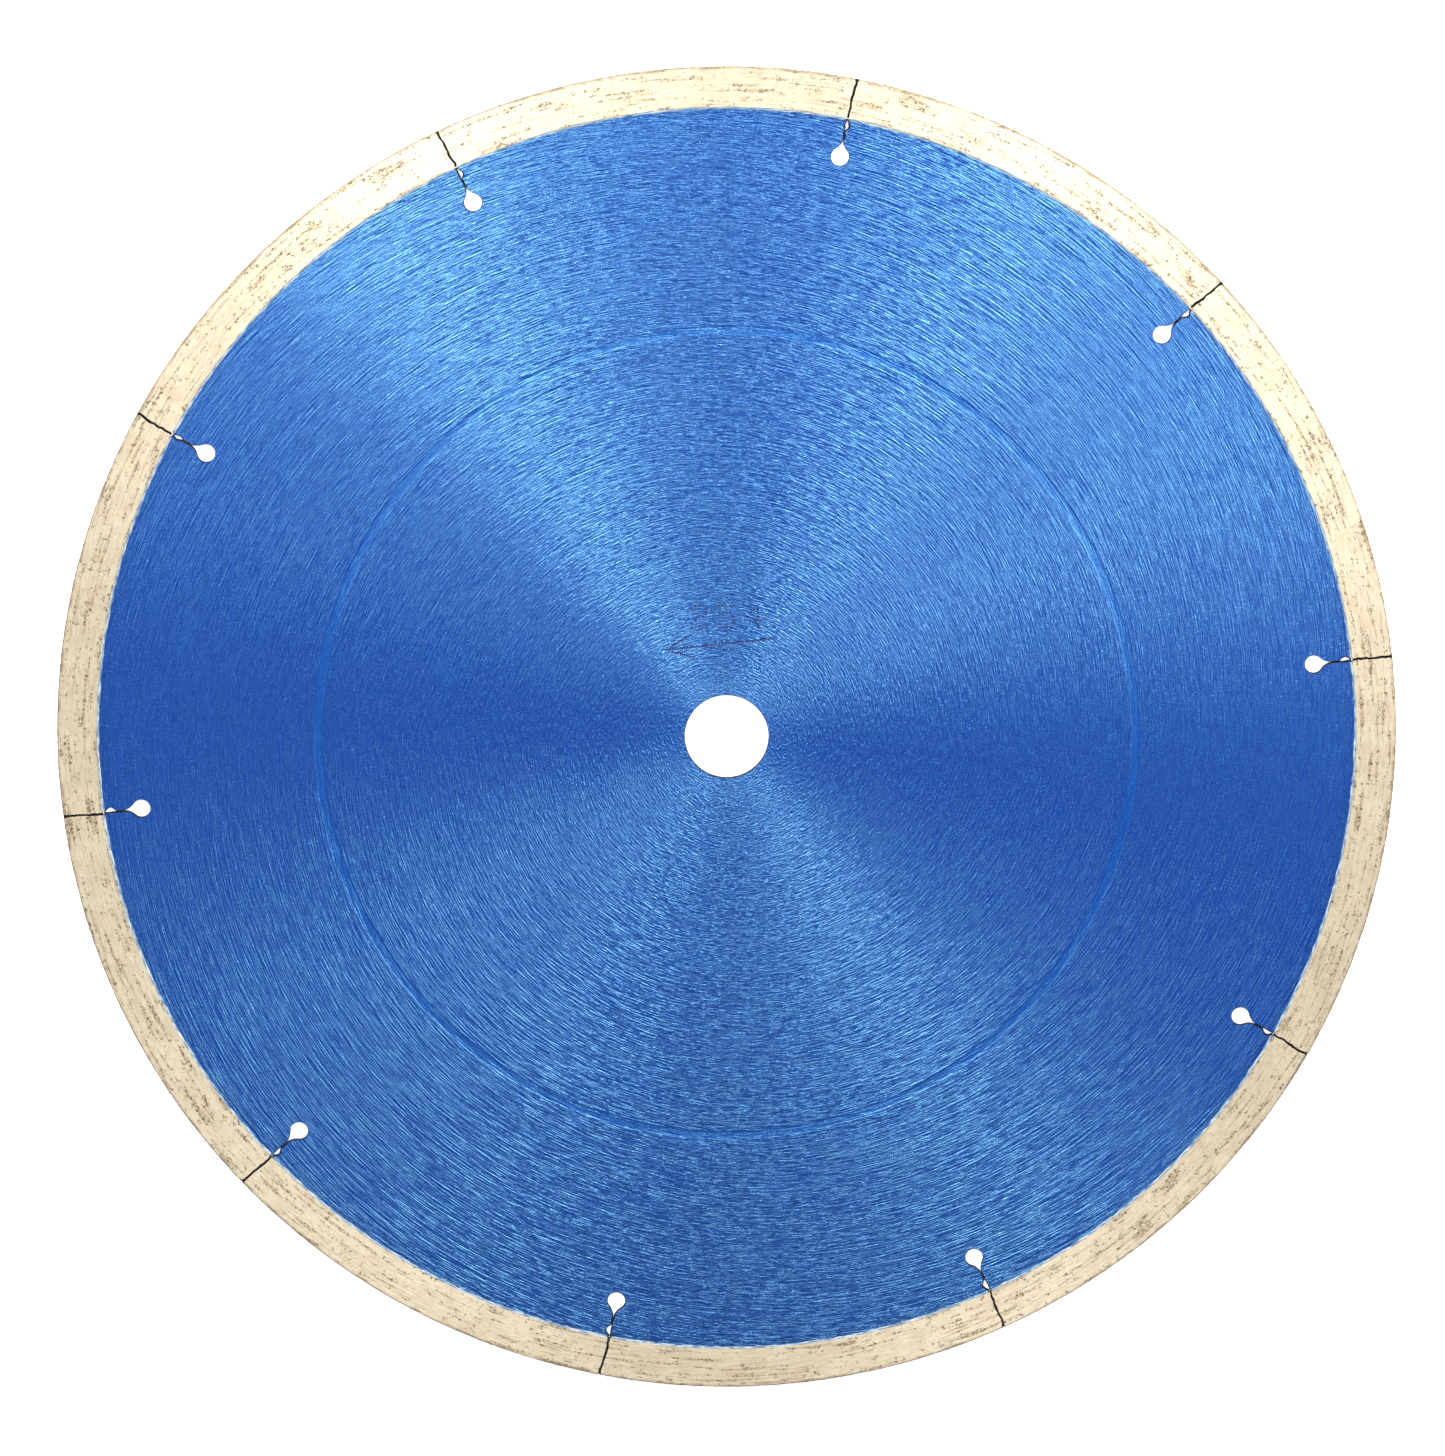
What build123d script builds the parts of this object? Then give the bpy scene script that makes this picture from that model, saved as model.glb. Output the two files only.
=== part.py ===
from build123d import *
import os

# A 10 inch diamond blade for a wet saw, lying flat: +Z is the arbor axis and the
# origin is the centre of the arbor bore, half way through the core.

# Driving dimensions, in millimetres and degrees
blade_diameter = 254.0
arbor_diameter = 15.875
core_thickness = 1.3
bore_chamfer = 0.1

segment_count = 10
segment_height = 7.5
segment_thickness = 1.6
segment_edge_radius = 0.2
slot_gap = 0.4
first_slot_angle = 7.1

braze_film = 0.2
bead_width = 0.35
bead_height = 0.12
bead_sag = 0.02

stress_hole_diameter = 3.4
stress_hole_depth = 14.9
neck_radius = 2.6
core_slit_width = 0.3
relief_length = 2.5
relief_width = 0.9

tension_ring_radius = 77.5
tension_ring_width = 1.5
tension_ring_depth = 0.03

# Sizes that follow from them
slot_pitch = 360 / segment_count
blade_radius = blade_diameter / 2
segment_base_radius = blade_radius - segment_height
core_radius = segment_base_radius - braze_film
stress_hole_place = blade_radius - stress_hole_depth
core_slit_length = core_radius - stress_hole_place
groove_radius = (tension_ring_width**2 / 4 + tension_ring_depth**2) / (2 * tension_ring_depth)
groove_height = core_thickness / 2 + groove_radius - tension_ring_depth

os.makedirs("parts", exist_ok=True)


def radial_plane(angle):
    """The plane through the arbor axis at an angle: x runs outwards and y runs up."""
    outwards = Vector(1, 0, 0).rotate(Axis.Z, angle)
    return Plane(origin=(0, 0, 0), x_dir=outwards, z_dir=outwards.cross(Vector(0, 0, 1)))


def at_slots(radius, angle):
    """The two places, one at each end of a segment, where a slot crosses the rim."""
    return PolarLocations(radius, 2, start_angle=angle, angular_range=slot_pitch, endpoint=True)


def keep(part, name):
    """Label one finished piece and write it as its own node."""
    part.label = name
    export_step(part, f"parts/{name}.step")


# The core: a steel disc with an arbor bore, a rolled tension ring on each face, and
# ten slots in from the edge, each ending in a round stress hole.
with BuildPart() as core:
    with BuildSketch(Plane.XY.offset(-core_thickness / 2)):
        Circle(core_radius)
        Circle(arbor_diameter / 2, mode=Mode.SUBTRACT)
    extrude(amount=core_thickness)

    bore_edges = core.edges().filter_by(GeomType.CIRCLE).group_by(SortBy.RADIUS)[0]
    chamfer(bore_edges, bore_chamfer)

    with BuildSketch(Plane.XZ):
        with Locations((tension_ring_radius, groove_height), (tension_ring_radius, -groove_height)):
            Circle(groove_radius)
    revolve(axis=Axis.Z, mode=Mode.SUBTRACT)

    # One slot, drawn with its stress hole at the sketch's centre and the rim to the right
    with BuildSketch(mode=Mode.PRIVATE) as keyhole:
        Circle(stress_hole_diameter / 2)
        Rectangle(core_slit_length * 2, core_slit_width, align=(Align.MIN, Align.CENTER))
        mouth = keyhole.vertices().filter_by_position(Axis.X, 0, stress_hole_diameter)
        fillet(mouth, neck_radius)
        with BuildLine():
            relief_start = (core_slit_length - relief_length, 0)
            relief_end = (core_slit_length, 0)
            relief_middle = core_slit_length - relief_length / 2
            ThreePointArc(relief_start, (relief_middle, relief_width / 2), relief_end)
            ThreePointArc(relief_end, (relief_middle, -relief_width / 2), relief_start)
        make_face()

    with BuildSketch(Plane.XY.offset(-core_thickness)):
        with PolarLocations(stress_hole_place, segment_count, start_angle=first_slot_angle):
            add(keyhole.sketch)
    extrude(amount=core_thickness * 2, mode=Mode.SUBTRACT)

keep(core.part, "core")

for number in range(segment_count):
    slot_angle = first_slot_angle + number * slot_pitch

    # A diamond segment: one arc of sintered metal from slot to slot, a little thicker
    # than the core on both sides, with its two cutting corners rounded.
    with BuildPart() as segment:
        with BuildSketch(radial_plane(slot_angle)) as section:
            with Locations((segment_base_radius, 0)):
                Rectangle(segment_height, segment_thickness, align=(Align.MIN, Align.CENTER))
            fillet(section.vertices().group_by(Axis.X)[-1], segment_edge_radius)
        revolve(axis=Axis.Z, revolution_arc=slot_pitch)
        with at_slots(blade_radius, slot_angle):
            Box(segment_height * 3, slot_gap, segment_thickness * 2, mode=Mode.SUBTRACT)

    keep(segment.part, f"segment_{number + 1:02d}")

    # The silver solder that holds it: a film on the core's edge, and a bead along the
    # corner on both faces, which stays just below the segment's sides.
    with BuildPart() as braze:
        with BuildSketch(radial_plane(slot_angle)):
            face_height = core_thickness / 2
            bead_start = core_radius - bead_width
            bead_top = face_height + bead_height
            with BuildLine():
                Line((segment_base_radius, -bead_top), (segment_base_radius, bead_top))
                SagittaArc((segment_base_radius, bead_top), (bead_start, face_height), bead_sag)
                Line((bead_start, face_height), (core_radius, face_height))
                Line((core_radius, face_height), (core_radius, -face_height))
                Line((core_radius, -face_height), (bead_start, -face_height))
                SagittaArc((bead_start, -face_height), (segment_base_radius, -bead_top), bead_sag)
            make_face()
        revolve(axis=Axis.Z, revolution_arc=slot_pitch)
        with at_slots(core_radius, slot_angle):
            Box(bead_width * 6, relief_width, segment_thickness, mode=Mode.SUBTRACT)

    keep(braze.part, f"braze_{number + 1:02d}")
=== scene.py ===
import math

import bmesh
import bpy
import numpy as np
from mathutils import Euler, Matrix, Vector, geometry


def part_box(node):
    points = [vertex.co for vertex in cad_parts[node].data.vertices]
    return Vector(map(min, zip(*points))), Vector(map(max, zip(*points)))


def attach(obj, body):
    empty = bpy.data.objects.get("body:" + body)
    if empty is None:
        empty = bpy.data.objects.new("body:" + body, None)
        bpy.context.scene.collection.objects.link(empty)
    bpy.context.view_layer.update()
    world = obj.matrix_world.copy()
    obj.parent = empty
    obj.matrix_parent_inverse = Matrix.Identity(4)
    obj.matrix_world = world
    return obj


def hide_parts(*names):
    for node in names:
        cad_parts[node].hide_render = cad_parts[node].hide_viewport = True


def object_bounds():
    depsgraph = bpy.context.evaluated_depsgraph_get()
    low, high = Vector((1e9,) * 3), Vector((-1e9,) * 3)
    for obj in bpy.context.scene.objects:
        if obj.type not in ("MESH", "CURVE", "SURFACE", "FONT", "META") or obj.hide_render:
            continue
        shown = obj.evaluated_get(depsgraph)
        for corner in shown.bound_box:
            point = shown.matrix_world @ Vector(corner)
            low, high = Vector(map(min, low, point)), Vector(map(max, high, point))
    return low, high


# A 10 inch diamond blade: a blue lacquered steel core with keyhole slots, and a rim of
# ten sintered diamond segments soldered to its edge. It lies flat, with +Z along the
# arbor axis. Metres and radians, but degrees in the tables of lights and of the camera.

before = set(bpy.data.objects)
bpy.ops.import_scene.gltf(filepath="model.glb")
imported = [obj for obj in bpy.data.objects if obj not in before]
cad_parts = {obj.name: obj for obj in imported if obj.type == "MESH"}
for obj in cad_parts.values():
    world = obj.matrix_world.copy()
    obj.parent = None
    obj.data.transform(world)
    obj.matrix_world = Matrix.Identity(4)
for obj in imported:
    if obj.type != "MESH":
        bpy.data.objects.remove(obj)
cad_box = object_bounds()

MM = 0.001

# Sizes shared with the frame
CORE_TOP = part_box("core")[1].z
SEGMENT_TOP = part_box("segment_01")[1].z
RIM = 127.0 * MM
BASE = 119.5 * MM
CORE_EDGE = 119.3 * MM
BORE = 7.9375 * MM
BORE_CHAMFER = 0.1 * MM
RING = 77.5 * MM
RING_WIDTH = 1.5 * MM
SEGMENTS = 10
PITCH = 2 * math.pi / SEGMENTS
FIRST_SLOT = math.radians(7.1)
CORNER = 0.2 * MM
HOLE = 1.7 * MM
HOLE_PLACE = 112.1 * MM
NECK = 2.6 * MM
SLIT = 0.3 * MM
RELIEF_LENGTH = 2.5 * MM

# The core's sizes that only the looks have. From each face to the middle of the plate a
# slot's walls lean in by WAIST, but they stay at least SLIT_WAIST apart.
RELIEF_WIDTH = 1.0 * MM
WAIST = 0.2 * MM
SLIT_WAIST = 0.006 * MM
SLOT_STEP = 0.12 * MM
BROKEN_EDGE = 0.09 * MM
RING_DEPTH = 0.02 * MM
RING_LEVEL = 0.15 * MM
PIT = 0.25 * MM
PIT_DEPTH = 0.12 * MM
PIT_SCATTER = 0.05
PIT_STEPS = 8
BORE_STEPS = 180
EDGE_STEPS = 120
FACE_STEPS = 360

# The rim's sizes that only the looks have. The slots between segments narrow in the
# same way, from GAP at the faces to RIM_WAIST at the middle.
GAP = 0.46 * MM
RIM_WAIST = 0.006 * MM
SIDE_STEPS = 19
SWEEP_STEPS = 240
FACE_DIAMONDS = 100
SIDE_DIAMONDS = 70
END_MARGIN = 0.002

# The solder's sizes that only the looks have
BEAD_WIDTH = 0.28 * MM
BEAD_DROP = 0.04 * MM
BEAD_STEPS = 260
SOLDER_INSET = 0.02 * MM

# Edges folded more sharply than this are drawn sharp
SHARP_FOLD = math.radians(35)
# Vertices closer together than this become one
SAME_PLACE = 1e-7

random = np.random.default_rng(254)


# ---------------------------------------------------------------- curves

def circle(radius, count, centre=(0, 0)):
    sweep = np.linspace(0, 2 * math.pi, count, endpoint=False)
    return np.asarray(centre) + radius * np.c_[np.cos(sweep), np.sin(sweep)]


def turned(points, angle):
    """Flat points, turned about the origin."""
    c, s = math.cos(angle), math.sin(angle)
    return np.c_[points[:, 0] * c - points[:, 1] * s, points[:, 0] * s + points[:, 1] * c]


def wander(count, step, size):
    """Uneven offsets, with a fresh random value every step of them and straight runs between."""
    knots = random.uniform(-size, size, count // step + 2)
    return np.interp(np.arange(count) / step, np.arange(len(knots)), knots)


def moved_in(loop, distance):
    """A closed anticlockwise loop, moved to its left by a distance."""
    along = np.roll(loop, -1, 0) - np.roll(loop, 1, 0)
    normal = np.c_[-along[:, 1], along[:, 0]] / np.hypot(along[:, 0], along[:, 1])[:, None]
    return loop + normal * distance


def inside(points, loop):
    """Which points lie inside a closed loop, by counting crossings."""
    x, y = points[:, 0][:, None], points[:, 1][:, None]
    x1, y1 = loop[:, 0], loop[:, 1]
    x2, y2 = np.roll(x1, -1), np.roll(y1, -1)
    rise = np.where(y2 == y1, 1, y2 - y1)
    crosses = ((y1 > y) != (y2 > y)) & (x < x1 + (y - y1) / rise * (x2 - x1))
    return crosses.sum(axis=1) % 2 == 1


# ---------------------------------------------------------------- meshes

class Shape:
    """Vertices and faces gathered for one mesh. Each face has the number of its material."""

    def __init__(self):
        self.points = []
        self.faces = []
        self.parts = []
        self.smooth = []

    def add_points(self, points):
        start = len(self.points)
        self.points.extend(tuple(p) for p in points)
        return list(range(start, len(self.points)))

    def add_face(self, corners, part=0, smooth=False):
        self.faces.append([int(corner) for corner in corners])
        self.parts.append(part)
        self.smooth.append(smooth)

    def add_band(self, first, second, part=0, smooth=False):
        """Faces between two closed loops of the same length. part may differ along them."""
        for i in range(len(first)):
            j = (i + 1) % len(first)
            here = part if isinstance(part, int) else part[i]
            self.add_face((first[i], first[j], second[j], second[i]), here, smooth)

    def build(self, name, materials, replaced):
        """Make the mesh, and the piece that rides on the blade with it."""
        mesh = bpy.data.meshes.new(name)
        mesh.from_pydata(self.points, [], self.faces)
        mesh.polygons.foreach_set("material_index", self.parts)
        mesh.polygons.foreach_set("use_smooth", self.smooth)
        bm = bmesh.new()
        bm.from_mesh(mesh)
        bmesh.ops.remove_doubles(bm, verts=bm.verts, dist=SAME_PLACE)
        for edge in bm.edges:
            sides = edge.link_faces
            folded = len(sides) == 2 and edge.calc_face_angle() > SHARP_FOLD
            edge.smooth = not folded and len({(f.smooth, f.material_index) for f in sides}) == 1
        bm.to_mesh(mesh)
        bm.free()
        for material in materials:
            mesh.materials.append(material)
        piece = bpy.data.objects.new(name, mesh)
        bpy.context.scene.collection.objects.link(piece)
        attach(piece, "root")
        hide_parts(replaced)


# ---------------------------------------------------------------- nodes

class Nodes:
    """Builds the node tree of one material."""

    def __init__(self, name):
        self.material = bpy.data.materials.new(name)
        self.material.use_nodes = True
        self.tree = self.material.node_tree
        self.tree.nodes.clear()

    def add(self, kind, inputs=None, output=0, **settings):
        """Add a node, set or link its inputs, and return one of its outputs."""
        node = self.tree.nodes.new(kind)
        for key, value in settings.items():
            setattr(node, key, value)
        for key, value in (inputs or {}).items():
            if isinstance(value, bpy.types.NodeSocket):
                self.tree.links.new(value, node.inputs[key])
            else:
                node.inputs[key].default_value = value
        return node.outputs[output] if len(node.outputs) else None

    def math(self, operation, *values):
        return self.add("ShaderNodeMath", dict(enumerate(values)), operation=operation)

    def step(self, value, low, high, to_low=0.0, to_high=1.0):
        """Goes smoothly from to_low to to_high while value goes from low to high."""
        inputs = {0: value, 1: low, 2: high, 3: to_low, 4: to_high}
        return self.add("ShaderNodeMapRange", inputs, interpolation_type="SMOOTHSTEP")

    def mix(self, share, first, second):
        """A colour between two colours."""
        return self.add("ShaderNodeMix", {0: share, 6: first, 7: second}, output=2, data_type="RGBA")

    def noise(self, place, scale, detail=2.0, roughness=0.5):
        inputs = {"Vector": place, "Scale": scale, "Detail": detail, "Roughness": roughness}
        return self.add("ShaderNodeTexNoise", inputs)

    def bump(self, height, depth):
        """A normal bent by a height between 0 and 1, for grooves of a depth in metres."""
        return self.add("ShaderNodeBump", {"Height": height, "Distance": depth, "Strength": 1.0})

    def blade_place(self):
        """The object coordinates, and the distance from the arbor axis."""
        place = self.add("ShaderNodeTexCoord", output=3)
        flat = self.add("ShaderNodeVectorMath", {0: place, 1: (1, 1, 0)}, operation="MULTIPLY")
        radius = self.add("ShaderNodeVectorMath", {0: flat}, output=1, operation="LENGTH")
        return place, radius

    def unrolled(self, place, radius, turns, across, spiral=0.0):
        """A place for textures drawn out along circles about the axis: it changes by turns
        per radian round them, and by across per metre out from the axis. Its arcs open
        outwards at the slope spiral. The two halves of the blade are unrolled apart, and
        each arc crosses from one to the other at a place of its own."""
        own = self.add("ShaderNodeTexNoise", {"W": radius, "Scale": across}, noise_dimensions="1D")
        turn = self.math("MULTIPLY_ADD", own, 3.0, -1.5)
        about = {"Vector": place, "Angle": turn}
        jittered = self.add("ShaderNodeVectorRotate", about, rotation_type="Z_AXIS")
        half = self.math("SIGN", self.add("ShaderNodeSeparateXYZ", {0: jittered}))
        halves = self.add("ShaderNodeCombineXYZ", {0: half, 1: half, 2: 1.0})
        near = self.add("ShaderNodeVectorMath", {0: place, 1: halves}, operation="MULTIPLY")
        x = self.add("ShaderNodeSeparateXYZ", {0: near}, output=0)
        y = self.add("ShaderNodeSeparateXYZ", {0: near}, output=1)
        angle = self.math("ARCTAN2", y, x)
        opened = self.math("EXPONENT", self.math("MULTIPLY", angle, -spiral))
        outward = self.math("MULTIPLY", radius, opened)
        inputs = {
            0: self.math("MULTIPLY", angle, turns),
            1: self.math("MULTIPLY_ADD", outward, across, self.math("MULTIPLY", half, 50.0)),
        }
        return self.add("ShaderNodeCombineXYZ", inputs)

    def arcs(self, place, radius, turns, across, spiral=0.0, detail=1.0):
        """Noise drawn out along circles about the axis."""
        noise = {"Vector": self.unrolled(place, radius, turns, across, spiral), "Scale": 1.0}
        noise["Detail"] = detail
        return self.add("ShaderNodeTexNoise", noise, noise_dimensions="2D")

    def outward(self, place):
        """The direction away from the axis, in which round grinding draws out highlights."""
        flat = self.add("ShaderNodeVectorMath", {0: place, 1: (1, 1, 0)}, operation="MULTIPLY")
        return self.add("ShaderNodeVectorTransform", {0: flat}, convert_from="OBJECT", convert_to="WORLD")

    def finish(self, **inputs):
        """Add the shader with its inputs, and return the material."""
        names = {key.replace("_", " "): value for key, value in inputs.items()}
        shader = self.add("ShaderNodeBsdfPrincipled", names)
        self.add("ShaderNodeOutputMaterial", {"Surface": shader})
        return self.material


# ---------------------------------------------------------------- materials

def lacquer_material():
    """Blue lacquer over steel that was ground round and round."""
    n = Nodes("blue_lacquer")
    place, radius = n.blade_place()

    # Grinding marks in three sizes, each about as steep as the others
    broad = n.arcs(place, radius, 8.0, 1600.0, 0.07)
    middle = n.arcs(place, radius, 11.0, 3600.0, 0.07)
    fine = n.arcs(place, radius, 22.0, 6000.0, 0.07)
    grain = n.noise(place, 3800.0, 1.0)
    broad = n.math("MULTIPLY", broad, n.step(radius, 10 * MM, 60 * MM, 0.08, 0.26))
    marks = n.math("MULTIPLY_ADD", middle, 0.42, broad)
    marks = n.math("MULTIPLY_ADD", fine, 0.34, marks)
    marks = n.math("MULTIPLY_ADD", grain, 0.16, marks)

    # The tension ring is rolled into the plate, and so is smoother
    from_ring = n.math("ABSOLUTE", n.math("SUBTRACT", radius, RING))
    ring = n.step(from_ring, RING_WIDTH * 0.40, RING_WIDTH * 0.62, 1.0, 0.0)
    left = n.math("MULTIPLY_ADD", ring, -0.35, 1.0)

    # Thin lacquer on the ridges is lighter. Towards the solder the lacquer is darker: painted shade of
    # the step up to the rim, and lacquer built up by the bead.
    light = n.step(marks, 0.40, 0.80)
    tint = n.mix(light, (0.002, 0.046, 0.370, 1), (0.003, 0.056, 0.405, 1))
    tint = n.mix(n.math("MULTIPLY", ring, 0.7), tint, (0.002, 0.100, 0.520, 1))
    # Painted shade by the rim's step, with lacquer built up there: darker towards the solder
    edge = n.step(radius, CORE_EDGE - 2.4 * MM, CORE_EDGE - 0.5 * MM, 0.0, 0.45)
    tint = n.mix(edge, tint, (0.001, 0.020, 0.230, 1))
    tint = n.mix(n.step(grain, 0.35, 0.65, 0.0, 0.6), tint, (0.001, 0.022, 0.250, 1))

    height = n.math("MULTIPLY", marks, left)
    return n.finish(
        Base_Color=tint,
        Metallic=0.1,
        Roughness=n.step(grain, 0.3, 0.7, 0.26, 0.32),
        IOR=3.2,
        Specular_Tint=(0.31, 0.79, 1.0, 1),
        Anisotropic=0.8,
        Tangent=n.outward(place),
        Normal=n.bump(height, 0.36 * MM),
    )


def pooled_material():
    """Lacquer that pooled in the punched marks: thick, so nearly black."""
    n = Nodes("pooled_lacquer")
    grain = n.noise(n.blade_place()[0], 3000.0, 1.0)
    return n.finish(
        Base_Color=n.mix(grain, (0.001, 0.006, 0.060, 1), (0.002, 0.014, 0.120, 1)),
        Roughness=n.step(grain, 0.3, 0.7, 0.45, 0.60),
        IOR=1.5,
    )


def burnt_and_shaded_material():
    """The walls of everything the laser cut, and the segments' end walls: nearly black, partly dark heat
    scale and partly painted shade in the narrow cuts, with fine cut lines down them.
    """
    n = Nodes("burnt_and_shaded_wall")
    place = n.blade_place()[0]
    scale = n.noise(place, 900.0, 3.0)
    stretched = n.add("ShaderNodeVectorMath", {0: place, 1: (6000, 6000, 300)}, operation="MULTIPLY")
    return n.finish(
        Base_Color=n.mix(n.step(scale, 0.35, 0.65), (0.003, 0.002, 0.004, 1), (0.012, 0.007, 0.008, 1)),
        Roughness=n.step(scale, 0.3, 0.7, 0.60, 0.80),
        IOR=1.3,
        Normal=n.bump(n.noise(stretched, 1.0), 0.03 * MM),
    )


def sintered_material():
    """The segments' ground sides: pale bond metal with grit and pores cut through."""
    n = Nodes("sintered_side")
    place, radius = n.blade_place()
    lines = n.arcs(place, radius, 40.0, 4200.0, detail=2.0)
    bands = n.arcs(place, radius, 12.0, 1300.0, detail=3.0)
    clouds = n.noise(place, 170.0, 3.0)
    warm = n.arcs(place, radius, 90.0, 1800.0, detail=2.0)
    bond = n.mix(n.step(clouds, 0.40, 0.62), (0.93, 0.81, 0.58, 1), (0.84, 0.71, 0.50, 1))
    bond = n.mix(n.step(warm, 0.42, 0.68, 0.0, 0.55), bond, (0.80, 0.60, 0.43, 1))
    bond = n.mix(n.step(lines, 0.48, 0.68, 0.0, 0.7), bond, (0.98, 0.91, 0.73, 1))
    bond = n.mix(n.step(bands, 0.54, 0.70, 0.0, 0.6), bond, (0.60, 0.45, 0.27, 1))

    # Specks are longer round the blade than across it. They crowd together in short rows,
    # and are scarce and faint between them.
    cells = n.unrolled(place, radius, 210.0, 2900.0)
    grit = n.add("ShaderNodeTexVoronoi", {"Vector": cells, "Scale": 1.0}, voronoi_dimensions="2D")
    crowd = n.math("ADD", n.noise(place, 800.0, 3.0, 0.65), n.math("MULTIPLY", bands, 0.8))
    depth = n.step(n.noise(place, 1100.0, 1.0), 0.35, 0.60, 0.35, 1.0)
    speck = n.math("MULTIPLY", n.step(grit, 0.30, 0.55, 1.0, 0.0), n.step(crowd, 0.92, 1.08))
    speck = n.math("MULTIPLY", speck, depth)

    # The corner by the cutting face is worn and browner in places
    patchy = n.step(n.noise(place, 260.0, 3.0, 0.6), 0.45, 0.65, 0.1, 0.9)
    corner = n.step(radius, RIM - 0.8 * MM, RIM - 0.15 * MM)
    colour = n.mix(n.math("MULTIPLY", corner, patchy), bond, (0.30, 0.21, 0.12, 1))
    colour = n.mix(speck, colour, (0.16, 0.105, 0.040, 1))

    height = n.math("SUBTRACT", n.math("MULTIPLY", lines, 0.5), speck)
    return n.finish(
        Base_Color=colour,
        Metallic=0.5,
        Roughness=n.step(speck, 0.0, 1.0, 0.62, 0.85),
        IOR=2.2,
        Specular_Tint=(0.90, 0.95, 1.0, 1),
        Anisotropic=0.9,
        Tangent=n.outward(place),
        Normal=n.bump(height, 0.03 * MM),
    )


def dressed_material():
    """The segments' cutting face and slot walls: open bond, rougher and darker than the sides."""
    n = Nodes("dressed_bond")
    place = n.blade_place()[0]
    coarse = n.noise(place, 1300.0, 3.0, 0.65)
    stain = n.noise(place, 200.0, 2.0)
    colour = n.mix(n.step(coarse, 0.35, 0.65), (0.17, 0.12, 0.07, 1), (0.46, 0.36, 0.23, 1))
    colour = n.mix(n.step(stain, 0.45, 0.70, 0.0, 0.5), colour, (0.24, 0.13, 0.06, 1))
    return n.finish(
        Base_Color=colour,
        Metallic=0.35,
        Roughness=n.step(coarse, 0.3, 0.7, 0.55, 0.8),
        Normal=n.bump(coarse, 0.10 * MM),
    )


def diamond_material():
    """Synthetic diamond crystals: yellow-green and glossy."""
    n = Nodes("diamond_grit")
    shade = n.noise(n.blade_place()[0], 700.0, 1.0)
    return n.finish(
        Base_Color=n.mix(n.step(shade, 0.35, 0.65), (0.10, 0.085, 0.03, 1), (0.30, 0.26, 0.10, 1)),
        Roughness=n.step(shade, 0.3, 0.7, 0.12, 0.35),
        IOR=2.2,
    )


def solder_material():
    """Bright silver solder, drawn out along the joint."""
    n = Nodes("silver_solder")
    place, radius = n.blade_place()
    flow = n.arcs(place, radius, 60.0, 3000.0, detail=2.0)
    return n.finish(
        Base_Color=n.mix(n.step(flow, 0.35, 0.65), (0.20, 0.36, 0.56, 1), (0.72, 0.79, 0.82, 1)),
        Metallic=0.5,
        Roughness=n.step(flow, 0.3, 0.7, 0.30, 0.45),
        Normal=n.bump(flow, 0.05 * MM),
    )


def floor_material():
    """Bright white paper."""
    n = Nodes("floor_paper")
    fibres = n.noise(n.blade_place()[0], 900.0, 3.0)
    return n.finish(
        Base_Color=n.mix(fibres, (0.90, 0.90, 0.90, 1), (0.96, 0.96, 0.96, 1)),
        Roughness=0.9,
        Emission_Color=(1, 1, 1, 1),
        Emission_Strength=0.9,
    )


# ---------------------------------------------------------------- core

def keyhole(angle):
    """One slot's outline, from its right lip at the core's edge, in round the stress hole,
    and back out to its left lip. With it comes the outline halfway through the plate, where
    the cut is narrower."""
    length = CORE_EDGE - HOLE_PLACE
    half = SLIT / 2
    neck_x = math.sqrt((HOLE + NECK) ** 2 - (half + NECK) ** 2)
    touch = math.atan2(half + NECK, neck_x)

    x = np.arange(neck_x, length, SLOT_STEP)
    along = (x - (length - RELIEF_LENGTH)) / RELIEF_LENGTH
    bulge = np.sin(math.pi * np.clip(along, 0, 0.93)) ** 1.3
    drift = wander(len(x), 6, 0.07 * MM) * np.clip((x - neck_x) / MM, 0, 1)
    shift = random.uniform(0, 1)
    left = np.maximum(half, RELIEF_WIDTH * shift * bulge) + wander(len(x), 3, 0.03 * MM)
    right = np.maximum(half, RELIEF_WIDTH * (1 - shift) * bulge) + wander(len(x), 3, 0.03 * MM)

    # The slit flares into the round hole on both sides
    sweep = np.linspace(touch - math.pi, -math.pi / 2, 12)
    flare = np.c_[neck_x + NECK * np.cos(sweep), half + NECK + NECK * np.sin(sweep)]
    sweep = np.linspace(-touch, touch - 2 * math.pi, 40)[1:-1]
    hole = HOLE * np.c_[np.cos(sweep), np.sin(sweep)]
    mouth = np.vstack([flare[::-1] * (1, -1), hole, flare[:-1]])
    outlines = []
    for waist in (0, WAIST):
        right_side = np.c_[x, drift - np.maximum(right - waist, SLIT_WAIST / 2)]
        left_side = np.c_[x, drift + np.maximum(left - waist, SLIT_WAIST / 2)]
        closing = np.clip((mouth[:, 0] - HOLE) / (neck_x - HOLE), 0.2, 1)
        narrow = np.sign(mouth[:, 1]) * np.minimum(waist * closing, np.abs(mouth[:, 1]) * 0.9)
        narrowed = mouth - np.c_[np.zeros(len(mouth)), narrow]
        outline = np.vstack([right_side[::-1], narrowed, left_side])
        outlines.append(turned(outline + (HOLE_PLACE, 0), angle))
    return outlines


def core_outlines():
    """The core's edge with its ten slots, anticlockwise, at its faces and halfway through."""
    runs = [], []
    slots = [keyhole(FIRST_SLOT + number * PITCH) for number in range(SEGMENTS)]
    for slot, following in zip(slots, slots[1:] + slots[:1]):
        first = math.atan2(slot[0][-1][1], slot[0][-1][0])
        last = math.atan2(following[0][0][1], following[0][0][0])
        sweep = np.linspace(first, first + (last - first) % (2 * math.pi), EDGE_STEPS)[1:-1]
        for run, outline in zip(runs, slot):
            run += [outline, CORE_EDGE * np.c_[np.cos(sweep), np.sin(sweep)]]
    return np.vstack(runs[0]), np.vstack(runs[1])


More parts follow.
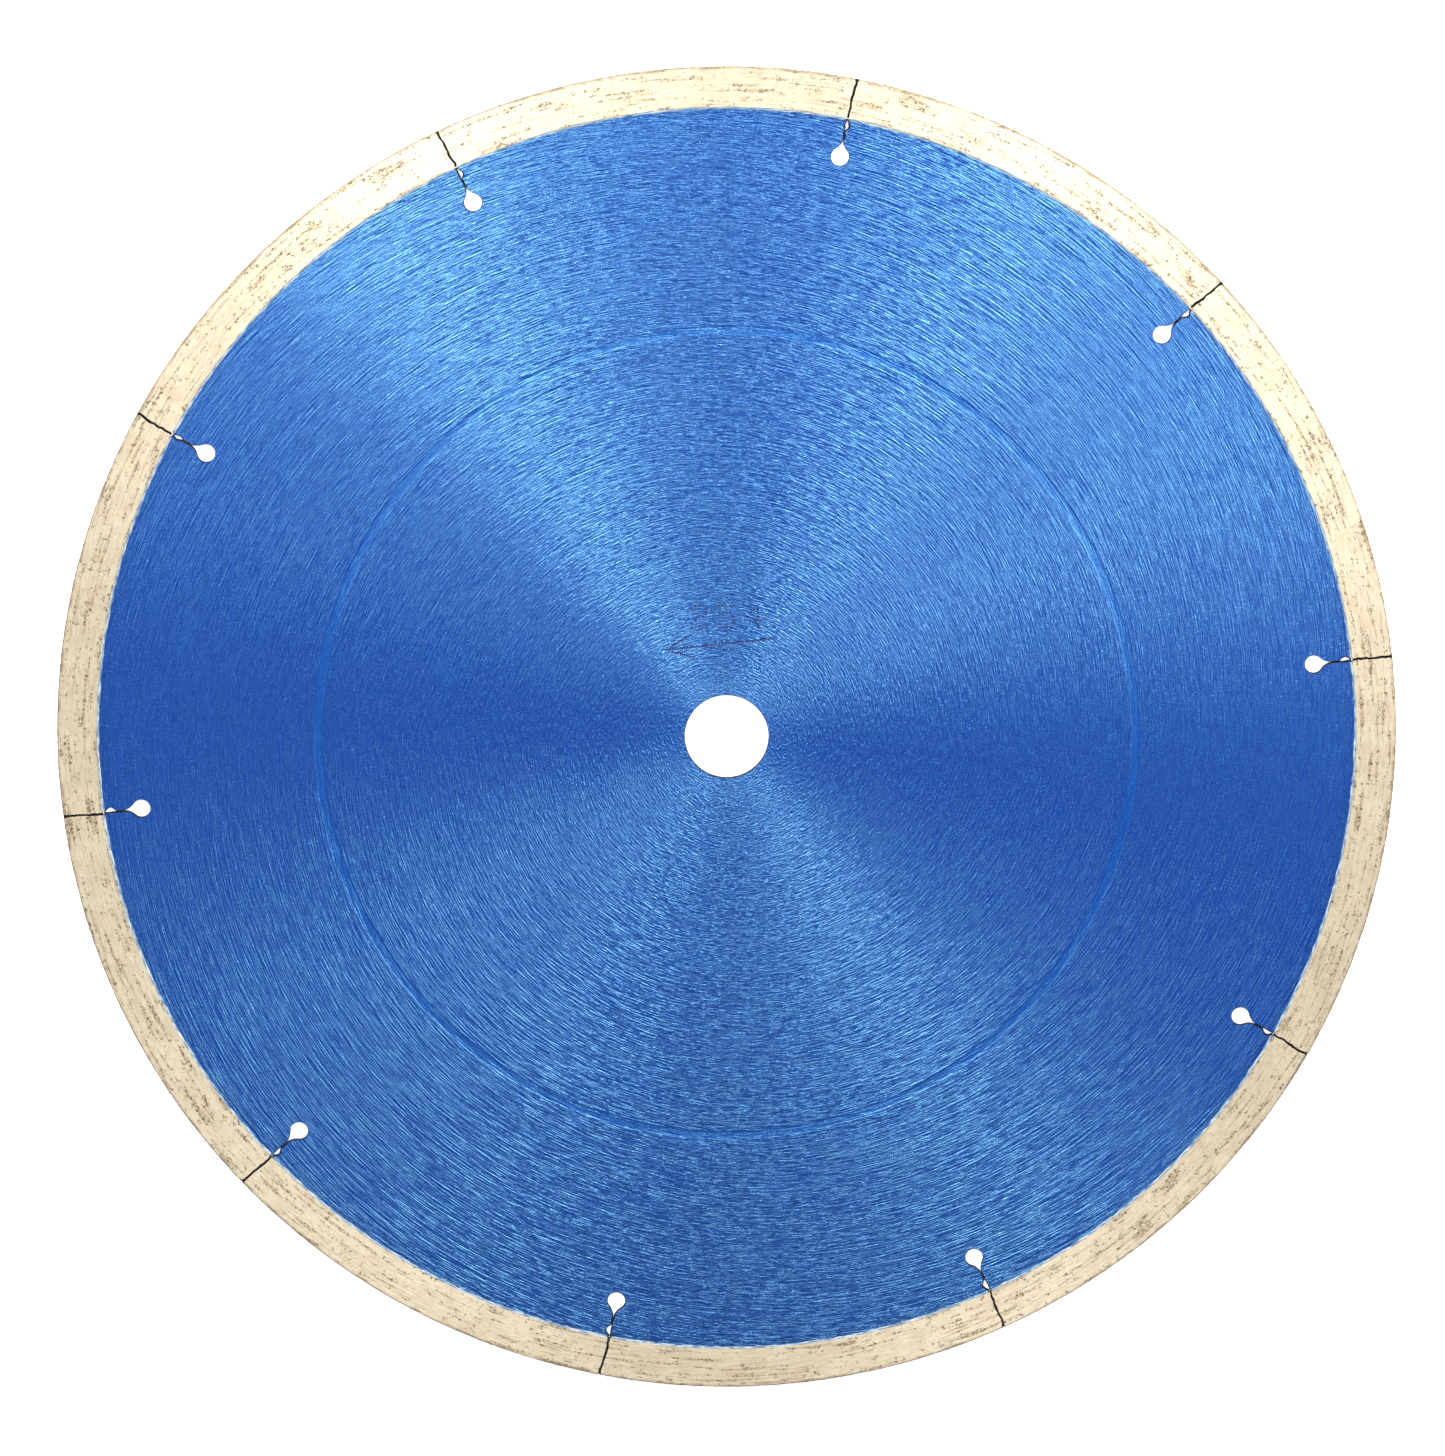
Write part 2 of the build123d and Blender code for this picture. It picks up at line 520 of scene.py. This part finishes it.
def peened_marks():
    """Places of the dots punched above the bore: an arrow for the direction of rotation, and
    the blade's diameter in millimetres."""
    tip, tail = np.array((-11.4, 16.6)), np.array((8.6, 18.8))
    barbs = [np.array((-7.4, 19.2)), np.array((-6.4, 15.2))]
    arrow_pitch = 0.56
    dots = [tip]
    for end in (tail, *barbs):
        count = round(np.hypot(*(end - tip)) / arrow_pitch)
        first = 1 if end is tail else 2
        dots.extend(tip + (end - tip) * step / count for step in range(first, count + 1))

    digits = (
        ("01110", "10001", "00001", "00110", "01000", "10000", "11111"),
        ("11111", "10000", "11110", "00001", "00001", "10001", "01110"),
        ("00010", "00110", "01010", "10010", "11111", "00010", "00010"),
    )
    corner, pitch, digit_pitch = np.array((-6.6, 25.0)), 0.68, 5.2
    for place, digit in enumerate(digits):
        for row, line in enumerate(digit):
            for column, dot in enumerate(line):
                if dot == "1":
                    dots.append(corner + (place * digit_pitch + column * pitch, -row * pitch))
    return (np.array(dots) + random.uniform(-PIT_SCATTER, PIT_SCATTER, (len(dots), 2))) * MM


def add_face_of_core(shape, edge, bore, side, marks):
    """The upper or lower face of the core, with its tension ring and any punched dots. Level
    loops on both sides of the ring stop its shading from spreading over the plate."""
    ring = RING + RING_WIDTH / 2 * np.array((-1, -0.8, -0.3, 0.3, 0.8, 1))
    ring_depth = RING_DEPTH * np.array((0, 0.5, 1, 1, 0.5, 0))
    radii = [30 * MM, 55 * MM, ring[0] - RING_LEVEL, *ring, ring[-1] + RING_LEVEL, 95 * MM, 107 * MM]
    loops = [edge, bore, *(circle(radius, FACE_STEPS) for radius in radii)]
    loops += [circle(PIT, PIT_STEPS, mark) for mark in marks]
    edges = []
    start = 0
    for loop in loops:
        edges += [(start + i, start + (i + 1) % len(loop)) for i in range(len(loop))]
        start += len(loop)
    points = np.vstack([*loops, marks])
    made = geometry.delaunay_2d_cdt([Vector(p) for p in points], edges, [], 0, 1e-9)
    places = np.array([tuple(p) for p in made[0]])
    faces = made[2]

    radius = np.hypot(places[:, 0], places[:, 1])
    sunk = np.interp(radius, ring, ring_depth)
    centres = np.array([places[list(face)].mean(0) for face in faces])
    kept = inside(centres, edge) & ~inside(centres, bore)
    pitted = np.zeros(len(faces), bool)
    for mark in marks:
        sunk[np.hypot(*(places - mark).T) < PIT / 4] = PIT_DEPTH
        pitted |= np.hypot(*(centres - mark).T) < PIT * 0.9
    vertices = shape.add_points(np.c_[places, side * (CORE_TOP - sunk)])
    for face, pit, keep in zip(faces, pitted, kept):
        if keep:
            shape.add_face([vertices[i] for i in face[::side]], 1 if pit else 0, not pit)


def make_core(materials):
    """The core plate: both faces, and the walls of its edge, slots and bore."""
    outer, outer_waist = core_outlines()
    outer_in = moved_in(outer, BROKEN_EDGE)
    bore, bore_in = circle(BORE, BORE_STEPS), circle(BORE + BORE_CHAMFER, BORE_STEPS)
    shape = Shape()
    add_face_of_core(shape, outer_in, bore_in, 1, peened_marks())
    add_face_of_core(shape, outer_in, bore_in, -1, np.empty((0, 2)))
    walls = (outer, outer_waist, outer_in, BROKEN_EDGE, 1), (bore, bore, bore_in, BORE_CHAMFER, -1)
    for wall, waist, lip, drop, turn in walls:
        low = CORE_TOP - drop
        levels = ((lip, -CORE_TOP), (wall, -low), (waist, 0), (wall, low), (lip, CORE_TOP))
        rows = [shape.add_points(np.c_[loop, np.full(len(loop), z)]) for loop, z in levels]
        for lower, upper in zip(rows, rows[1:]):
            shape.add_band(lower[::turn], upper[::turn], 2)
    shape.build("core_plate", materials, "core")


# ---------------------------------------------------------------- rim

def segment_section():
    """Half of a segment's section, from the base out along the upper side, round the worn
    corner and down to the middle of the cutting face."""
    side = np.linspace(BASE, RIM - CORNER, SIDE_STEPS + 1)[:-1]
    turn = np.linspace(math.pi / 2, 0, 5)
    corner = (RIM - CORNER, SEGMENT_TOP - CORNER) + CORNER * np.c_[np.cos(turn), np.sin(turn)]
    face = np.linspace(SEGMENT_TOP - CORNER, 0, 4)[1:-1]
    return np.vstack([
        np.c_[side, np.full(len(side), SEGMENT_TOP)],
        corner,
        np.c_[np.full(len(face), RIM), face],
    ])


def slot_line(count):
    """How far a slot in the rim strays sideways, from the base to the cutting face. It is
    torn through the bond: it leans, and it jumps from grain to grain."""
    lean = random.uniform(-0.5, 0.5) * MM * np.linspace(0, 1, count)
    return lean + wander(count, 3, 0.15 * MM) + wander(count, 1, 0.08 * MM)


def crystal():
    """A cube with its corners cut off: a diamond crystal one metre across."""
    bm = bmesh.new()
    bmesh.ops.create_cube(bm, size=0.8)
    bmesh.ops.bevel(bm, geom=bm.verts[:], offset=0.28, segments=1, affect="VERTICES")
    bm.verts.index_update()
    points = np.array([tuple(vertex.co) for vertex in bm.verts])
    faces = [[vertex.index for vertex in face.verts] for face in bm.faces]
    bm.free()
    return points, faces


def add_crystal(shape, grain, angle, radius, height, size):
    points, faces = grain
    spin = np.array(Euler(random.uniform(0, 2 * math.pi, 3)).to_matrix())
    place = (radius * math.cos(angle), radius * math.sin(angle), height)
    vertices = shape.add_points(points @ spin * size + place)
    for face in faces:
        shape.add_face([vertices[i] for i in face], 2)


def make_segment(number, lines, grain, materials):
    """One segment, swept between the torn slots at its two ends, with its diamonds."""
    half = segment_section()
    section = np.vstack([half, half[::-1] * (1, -1)])
    radii, heights = section[:, 0], section[:, 1]
    depth = (radii - BASE) / (RIM - BASE)
    ends, waists = [], []
    for slot, side in ((number, 1), (number + 1, -1)):
        line = lines[slot % SEGMENTS]
        stray = np.interp(depth, np.linspace(0, 1, len(line)), line)
        chipped = np.interp(depth, np.linspace(0, 1, 12), random.uniform(0.7, 1.3, 12))
        chipped = chipped + (depth > 0.93) * random.uniform(0, 1.0)
        open_share = np.clip(np.abs(heights) / SEGMENT_TOP, 0.05, 1)
        waist = RIM_WAIST / 2 * side / radii[:len(half)]
        waists.append(FIRST_SLOT + slot * PITCH + stray[:len(half)] / radii[:len(half)] + waist)
        opened = side * GAP / 2 * chipped * open_share
        ends.append(FIRST_SLOT + slot * PITCH + (stray + opened) / radii)

    shape = Shape()
    wear = wander(SWEEP_STEPS, 3, 0.03 * MM)
    worn = depth > 1 - CORNER / (RIM - BASE)
    rows = []
    for share, bite in zip(np.linspace(0, 1, SWEEP_STEPS), wear):
        angle = ends[0] + (ends[1] - ends[0]) * share
        rough = random.uniform(-0.02, 0.02, len(radii)) * MM
        r = radii + worn * (bite + rough)
        rows.append(shape.add_points(np.c_[r * np.cos(angle), r * np.sin(angle), heights]))
    parts = [1] * len(radii)
    parts[:SIDE_STEPS] = parts[-SIDE_STEPS - 1:-1] = [0] * SIDE_STEPS
    for row, following in zip(rows, rows[1:]):
        shape.add_band(row, following, parts, True)

    # Each end wall leans in from both faces to its waist at the middle. It is drawn in the near-black
    # wall material, painted shade in the narrow slot between segments
    for row, angle, turn in ((rows[0], waists[0], -1), (rows[-1], waists[1], 1)):
        out = half[:, 0]
        waist = shape.add_points(np.c_[out * np.cos(angle), out * np.sin(angle), 0 * out])
        for i in range(len(half) - 1):
            j = len(section) - 1 - i
            shape.add_face((row[i], row[i + 1], waist[i + 1], waist[i])[::turn], 3)
            shape.add_face((waist[i], waist[i + 1], row[j - 1], row[j])[::turn], 3)

    # Diamonds stand out of the cutting face, and show in the ground sides
    low, high = ends[0].max() + END_MARGIN, ends[1].min() - END_MARGIN
    for _ in range(FACE_DIAMONDS):
        place = random.uniform(low, high), RIM + random.uniform(-0.10, 0.0) * MM
        size = random.uniform(0.20, 0.34) * MM
        add_crystal(shape, grain, *place, random.uniform(-0.85, 0.85) * SEGMENT_TOP, size)
    for side in (1, -1):
        for _ in range(SIDE_DIAMONDS):
            place = random.uniform(low, high), random.uniform(BASE + 0.4 * MM, RIM - 0.4 * MM)
            size = random.uniform(0.14, 0.30) * MM
            height = side * (SEGMENT_TOP - size * random.uniform(0.25, 0.40))
            add_crystal(shape, grain, *place, height, size)
    shape.build(f"rim_segment_{number + 1:02d}", materials, f"segment_{number + 1:02d}")


def make_solder(number, material):
    """The solder behind one segment: a film with an uneven bead on each face."""
    clear = 0.45 * RELIEF_WIDTH / CORE_EDGE
    slot = FIRST_SLOT + number * PITCH
    shape = Shape()
    rows = []
    bead_in = CORE_EDGE - BEAD_WIDTH + wander(BEAD_STEPS, 3, 0.12 * MM)
    bead_top = SEGMENT_TOP - BEAD_DROP + wander(BEAD_STEPS, 4, 0.02 * MM)
    angles = np.linspace(slot + clear, slot + PITCH - clear, BEAD_STEPS)
    for angle, inner, top in zip(angles, bead_in, bead_top):
        middle = ((inner + BASE) / 2, (CORE_TOP + top) / 2 + 0.01 * MM)
        half = [(CORE_EDGE, CORE_TOP - SOLDER_INSET), (inner, CORE_TOP - 0.01 * MM), middle, (BASE, top)]
        loop = half + [(r, -z) for r, z in half[::-1]]
        rows.append(shape.add_points((r * math.cos(angle), r * math.sin(angle), z) for r, z in loop))
    for row, following in zip(rows, rows[1:]):
        shape.add_band(row, following, 0, True)
    shape.add_face(rows[0][::-1])
    shape.add_face(rows[-1])
    shape.build(f"solder_{number + 1:02d}", [material], f"braze_{number + 1:02d}")


def make_blade():
    # Nearly black walls: heat scale on the core's cuts, and painted shade in every narrow cut and slot
    burnt_and_shaded = burnt_and_shaded_material()
    make_core([lacquer_material(), pooled_material(), burnt_and_shaded])
    segment_materials = sintered_material(), dressed_material(), diamond_material(), burnt_and_shaded
    solder = solder_material()
    lines = [slot_line(26) for _ in range(SEGMENTS)]
    grain = crystal()
    for number in range(SEGMENTS):
        make_segment(number, lines, grain, segment_materials)
        make_solder(number, solder)


# ---------------------------------------------------------------- stage

def make_floor():
    level = cad_box[0].z - FLOOR_DROP
    corners = [(x * FLOOR_HALF, y * FLOOR_HALF, level) for x, y in ((-1, -1), (1, -1), (1, 1), (-1, 1))]
    mesh = bpy.data.meshes.new("floor")
    mesh.from_pydata(corners, [], [(0, 1, 2, 3)])
    mesh.materials.append(floor_material())
    floor = bpy.data.objects.new("floor", mesh)
    bpy.context.scene.collection.objects.link(floor)


def make_light(name, turn, tilt, distance, power):
    """A soft square light aimed at the blade, tilt degrees away from straight above it."""
    data = bpy.data.lights.new(name, "AREA")
    data.size = distance / 3
    data.energy = power
    light = bpy.data.objects.new(name, data)
    bpy.context.scene.collection.objects.link(light)
    turn, tilt = math.radians(turn), math.radians(tilt)
    outward = (math.sin(tilt) * math.cos(turn), math.sin(tilt) * math.sin(turn), math.cos(tilt))
    light.location = Vector(outward) * distance
    light.rotation_euler = Vector(outward).to_track_quat("Z", "Y").to_euler()
    light.visible_camera = False


FLOOR_HALF = 4.0
FLOOR_DROP = 0.02 * MM

# Name, degrees round from +X, degrees down from straight above, metres away, and watts
LIGHTS = (
    ("right", 0, 46, 0.9, 0.7),
    ("right_near", 20, 46, 0.6, 1.3),
    ("back_right_low", 50, 60, 0.6, 1.9),
    ("back_low", 65, 55, 0.6, 1.4),
    ("back_left", 110, 46, 0.6, 1.1),
    ("back_left_near", 125, 46, 0.6, 0.4),
    ("back_left_low", 125, 60, 0.6, 2.0),
    ("left_near", 155, 46, 0.6, 0.6),
    ("left", 180, 46, 0.9, 0.2),
)
# How bright the room is, and the heights on a unit sphere where its walls end and its
# ceiling begins
WALLS = 0.15
CEILING = 0.05
WALLS_END = 0.72
CEILING_START = 0.90

# Nearly square on, from a little behind the arbor axis. The lens is in millimetres.
CAMERA_PLACE = (-0.0015, 0.2306, 1.3586)
CAMERA_TURNS = (-9.57, -0.03, 0.0)
CAMERA_LENS = 179.5
CAMERA_SENSOR = 36.0


def make_room():
    """Even white light from all round, and a dimmer ceiling."""
    world = bpy.data.worlds.new("studio")
    world.use_nodes = True
    nodes, links = world.node_tree.nodes, world.node_tree.links
    place = nodes.new("ShaderNodeTexCoord")
    split = nodes.new("ShaderNodeSeparateXYZ")
    shade = nodes.new("ShaderNodeMapRange")
    shade.interpolation_type = "SMOOTHSTEP"
    for key, value in {1: WALLS_END, 2: CEILING_START, 3: WALLS, 4: CEILING}.items():
        shade.inputs[key].default_value = value
    background = nodes["Background"]
    background.inputs["Color"].default_value = (1, 1, 1, 1)
    links.new(place.outputs["Generated"], split.inputs[0])
    links.new(split.outputs["Z"], shade.inputs[0])
    links.new(shade.outputs[0], background.inputs["Strength"])
    bpy.context.scene.world = world


def make_stage():
    make_floor()
    make_room()
    for light in LIGHTS:
        make_light(*light)

    data = bpy.data.cameras.new("camera")
    data.lens = CAMERA_LENS
    data.sensor_width = CAMERA_SENSOR
    data.clip_start = 0.05
    camera = bpy.data.objects.new("camera", data)
    bpy.context.scene.collection.objects.link(camera)
    camera.location = CAMERA_PLACE
    camera.rotation_euler = [math.radians(turn) for turn in CAMERA_TURNS]
    bpy.context.scene.camera = camera
    bpy.context.scene.view_settings.view_transform = "Standard"


make_blade()
make_stage()
